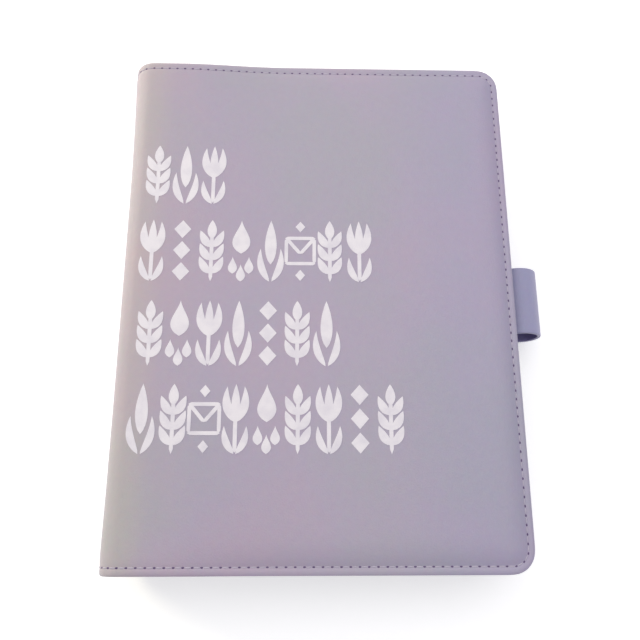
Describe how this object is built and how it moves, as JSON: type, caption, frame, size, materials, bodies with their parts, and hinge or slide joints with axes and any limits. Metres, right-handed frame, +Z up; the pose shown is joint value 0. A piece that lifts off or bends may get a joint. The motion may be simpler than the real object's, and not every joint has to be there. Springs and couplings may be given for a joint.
{
  "type": "cash envelope wallet",
  "caption": "Closed ring-binder wallet in padded pearl lilac leather with a pen loop, a snap-open ring mechanism and clear zip envelopes for cash.",
  "frame": {"origin": "middle of the back cover's flat outer face, on the table", "axes": "+X from the spine to the fore edge, +Y from the foot to the head of the cover, +Z up through the closed binder"},
  "size_m": [0.1876, 0.232, 0.04],
  "materials": {
    "cover_leather": "pearl lilac coated leather, fine grain, soft sheen",
    "loop_leather": "smooth lilac coated leather",
    "lining": "matt coated lining",
    "board": "grey board",
    "ring_steel": "nickel-plated steel",
    "clear_film": "clear soft film",
    "zip_plastic": "white zip strip"
  },
  "bodies": {
    "back_cover": {"back_skin": "cover_leather", "back_board": "board", "back_lining": "lining", "back_slip_pocket": "lining", "pen_loop": "loop_leather"},
    "spine": {"spine_skin": "cover_leather", "spine_board": "board", "spine_lining": "lining", "back_fold_leather": "cover_leather", "front_fold_leather": "cover_leather", "ring_plate": "ring_steel", "rivet_top": "ring_steel", "rivet_bottom": "ring_steel"},
    "front_cover": {"front_skin": "cover_leather", "front_board": "board", "front_lining": "lining", "front_slip_pocket": "lining", "card_slot_1": "lining", "card_slot_2": "lining", "card_slot_3": "lining"},
    "upper_rings": {"upper_blade": "ring_steel", "upper_ring_1": "ring_steel", "upper_ring_2": "ring_steel", "upper_ring_3": "ring_steel", "upper_ring_4": "ring_steel", "upper_ring_5": "ring_steel", "upper_ring_6": "ring_steel"},
    "lower_rings": {"lower_blade": "ring_steel", "lower_ring_1": "ring_steel", "lower_ring_2": "ring_steel", "lower_ring_3": "ring_steel", "lower_ring_4": "ring_steel", "lower_ring_5": "ring_steel", "lower_ring_6": "ring_steel"},
    "lever_top": {"lever_top": "ring_steel"},
    "lever_bottom": {"lever_bottom": "ring_steel"},
    "envelopes": {"envelope_1": "clear_film", "envelope_2": "clear_film", "envelope_3": "clear_film", "envelope_4": "clear_film", "envelope_5": "clear_film", "envelope_6": "clear_film", "zip_1": "zip_plastic", "zip_2": "zip_plastic", "zip_3": "zip_plastic", "zip_4": "zip_plastic", "zip_5": "zip_plastic", "zip_6": "zip_plastic"}
  },
  "joints": [
    {"name": "back_fold", "type": "hinge", "parent": "back_cover", "child": "spine", "pos_m": [-0.08507, 0, 0.00193], "axis": [0, -1, 0], "range_deg": [0, 90], "deforming": ["back_fold_leather"]},
    {"name": "front_fold", "type": "hinge", "parent": "spine", "child": "front_cover", "pos_m": [-0.08507, 0, 0.03807], "axis": [0, -1, 0], "range_deg": [0, 180], "deforming": ["front_fold_leather"]},
    {"name": "rings_open", "type": "hinge", "parent": "spine", "child": "upper_rings", "pos_m": [-0.0814, 0, 0.028], "axis": [0, -1, 0], "range_deg": [0, 8]},
    {"name": "lower_rings_open", "type": "hinge", "parent": "spine", "child": "lower_rings", "pos_m": [-0.0814, 0, 0.012], "axis": [0, 1, 0], "range_deg": [0, 8]},
    {"name": "lever_top_press", "type": "hinge", "parent": "spine", "child": "lever_top", "pos_m": [-0.0814, 0.091, 0.02], "axis": [0, 0, 1], "range_deg": [0, 14]},
    {"name": "lever_bottom_press", "type": "hinge", "parent": "spine", "child": "lever_bottom", "pos_m": [-0.0814, -0.091, 0.02], "axis": [0, 0, -1], "range_deg": [0, 14]},
    {"name": "envelopes_turn", "type": "hinge", "parent": "spine", "child": "envelopes", "pos_m": [-0.07122, 0, 0.02], "axis": [0, 1, 0], "range_deg": [0, 90]}
  ],
  "couplings": [
    {"joint": "lower_rings_open", "follows": "rings_open", "ratio": 1},
    {"joint": "lever_top_press", "follows": "rings_open", "ratio": 1.75},
    {"joint": "lever_bottom_press", "follows": "rings_open", "ratio": 1.75},
    {"joint": "envelopes_turn", "follows": "back_fold", "ratio": 1}
  ]
}
